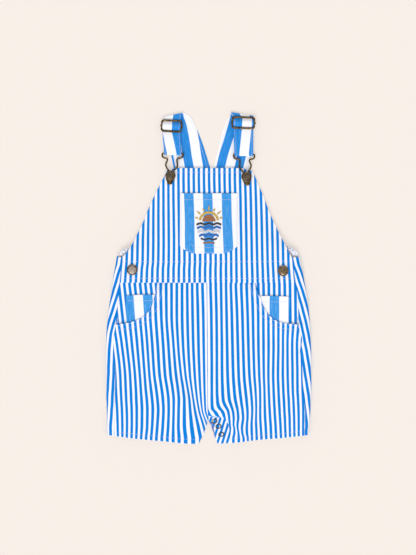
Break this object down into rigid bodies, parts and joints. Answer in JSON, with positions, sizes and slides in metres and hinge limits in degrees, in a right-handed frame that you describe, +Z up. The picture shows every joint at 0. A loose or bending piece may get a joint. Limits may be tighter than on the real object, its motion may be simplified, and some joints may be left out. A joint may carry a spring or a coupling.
{
  "type": "kids bib overalls with short legs, laid flat",
  "caption": "Flat-laid kids bib shortalls in striped cotton with a patch pocket, scoop hip pockets, adjustable shoulder straps, wire buckles and tack buttons.",
  "frame": {"origin": "middle of the underside of the garment's bounding box, on the surface it lies on", "axes": "+Z up from the surface, out of the garment's front; +Y towards the shoulders; +X to the right of someone who looks down at the front"},
  "size_m": [0.2876, 0.4652, 0.0128],
  "materials": {
    "stripe_narrow": "white cotton twill with narrow bright blue stripes",
    "stripe_wide": "white cotton twill with wide sky blue stripes",
    "aged_brass": "antique brass, darkened and worn bright on the edges"
  },
  "bodies": {
    "root": {"front_bib": "stripe_narrow", "front_leg_left": "stripe_narrow", "front_leg_right": "stripe_narrow", "pocket_facing_left": "stripe_narrow", "pocket_facing_right": "stripe_narrow", "inseam_placket": "stripe_narrow", "back_left": "stripe_narrow", "back_right": "stripe_narrow", "bib_pocket": "stripe_wide", "coin_pocket_left": "stripe_wide", "coin_pocket_right": "stripe_wide", "strap_left": "stripe_wide", "strap_right": "stripe_wide", "slider_left": "aged_brass", "slider_right": "aged_brass", "buckle_left": "aged_brass", "buckle_right": "aged_brass", "bib_button_left": "aged_brass", "bib_button_right": "aged_brass", "side_button_left": "aged_brass", "side_button_right": "aged_brass", "snap_ring_1": "aged_brass", "snap_ring_2": "aged_brass", "snap_ring_3": "aged_brass"}
  },
  "joints": []
}
